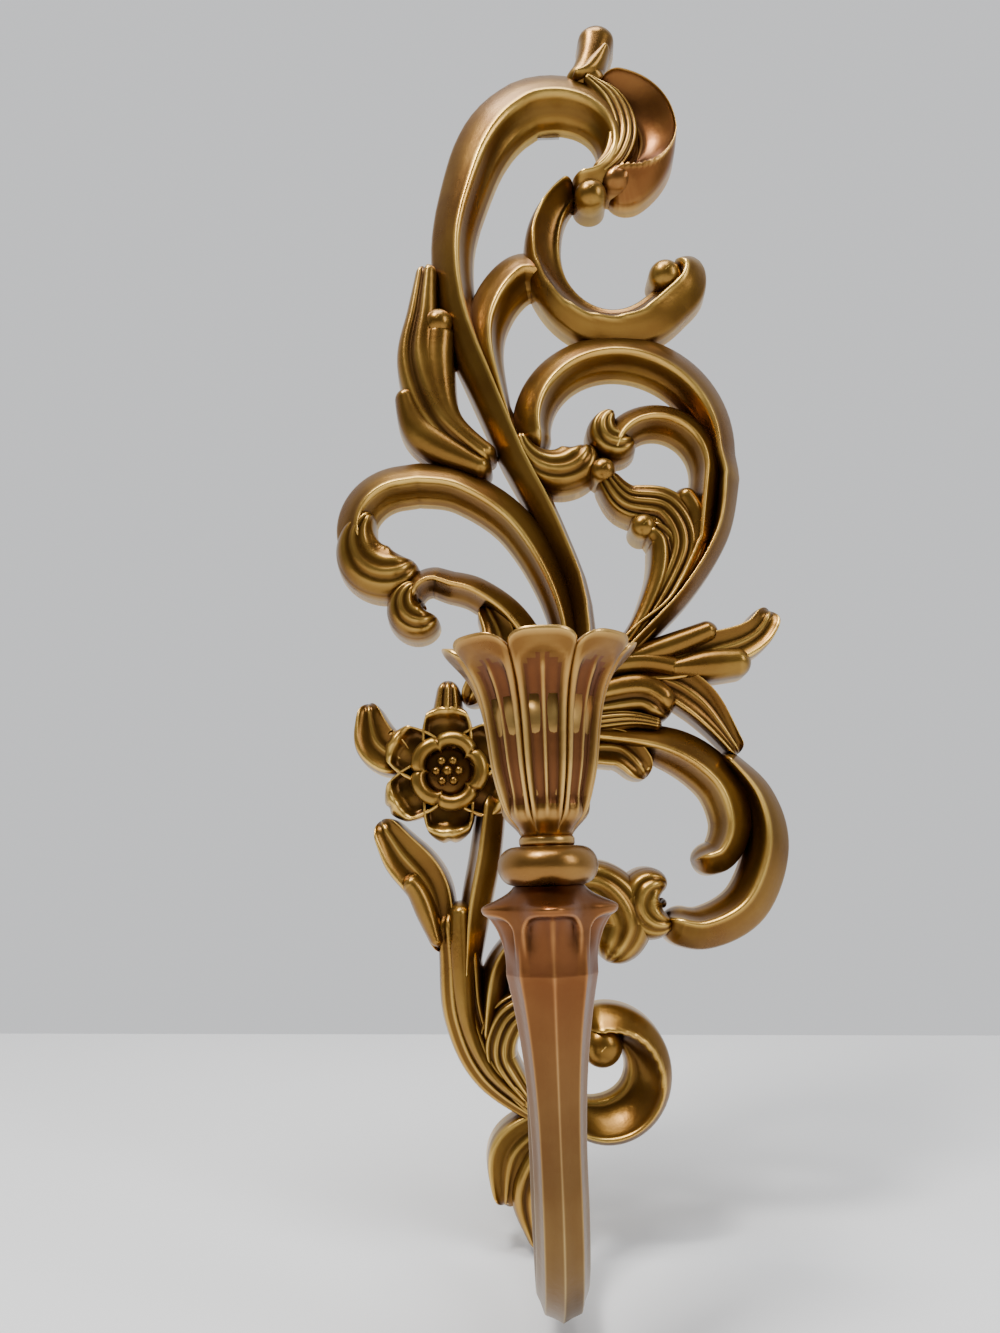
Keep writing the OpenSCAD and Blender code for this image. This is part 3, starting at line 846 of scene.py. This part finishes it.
# a level table, turned by the camera's roll so that its far edge is level in the picture
TABLE_Z = -535
TABLE_BEHIND = 512
TABLE_FRONT = 2500
TABLE_SIDE = 2200
mesh = bpy.data.meshes.new("table")
mesh.from_pydata([place(-TABLE_SIDE, TABLE_FRONT, TABLE_Z), place(TABLE_SIDE, TABLE_FRONT, TABLE_Z),
                  place(TABLE_SIDE, -TABLE_BEHIND, TABLE_Z), place(-TABLE_SIDE, -TABLE_BEHIND, TABLE_Z)],
                 [], [(0, 1, 2, 3)])
mesh.materials.append(pale_material())
table = bpy.data.objects.new("table", mesh)
table.rotation_euler = (0, math.radians(ROLL), 0)
bpy.context.scene.collection.objects.link(table)

# a plain studio, pale behind the object and dark in front of it
world = bpy.data.worlds.new("studio")
world.use_nodes = True
sky = world.node_tree
backdrop = sky.nodes["Background"]
backdrop.inputs["Strength"].default_value = 1.0
direction = sky.nodes.new("ShaderNodeTexCoord")
split = sky.nodes.new("ShaderNodeSeparateXYZ")
sky.links.new(direction.outputs["Generated"], split.inputs["Vector"])
behind = stretch(sky, split.outputs["Y"], 0, 1, -1, 1)
room = ramp(sky, behind, (0.3, (0.10, 0.10, 0.105)), (0.62, (0.80, 0.81, 0.83)))
sky.links.new(room, backdrop.inputs["Color"])
bpy.context.scene.world = world

MIDDLE = Vector(place(0, PLATE_DEPTH, -245))


def area_light(name, at, size, power, colour):
    """A rectangular light, aimed at the object's middle; at and size are in metres."""
    data = bpy.data.lights.new(name, "AREA")
    data.shape = "RECTANGLE"
    data.size, data.size_y = size
    data.energy = power
    data.color = colour
    obj = bpy.data.objects.new(name, data)
    obj.location = at
    obj.rotation_euler = (MIDDLE - Vector(at)).to_track_quat("-Z", "Y").to_euler()
    bpy.context.scene.collection.objects.link(obj)


area_light("key", (-0.5, -0.7, 0.95), (0.3, 0.3), 21, (1.0, 0.98, 0.95))
area_light("fill", (1.1, -0.9, 0.3), (0.4, 0.9), 9, (0.95, 0.97, 1.0))
area_light("ceiling", (-0.1, -0.5, 1.5), (1.0, 0.8), 34, WHITE)

camera_data = bpy.data.cameras.new("camera")
camera_data.sensor_fit = "VERTICAL"
camera_data.sensor_height = SENSOR
camera_data.lens = SENSOR * LENS_SHARE
camera_data.clip_start = 0.01
camera = bpy.data.objects.new("camera", camera_data)
camera.location = place(-12.8, 432, -385)
camera.rotation_mode = "XYZ"
tilt = Matrix.Rotation(math.radians(90 + PITCH), 4, "X")
spin = Matrix.Rotation(math.radians(-ROLL), 4, "Z")
camera.rotation_euler = (tilt @ spin).to_euler()
bpy.context.scene.collection.objects.link(camera)
bpy.context.scene.camera = camera
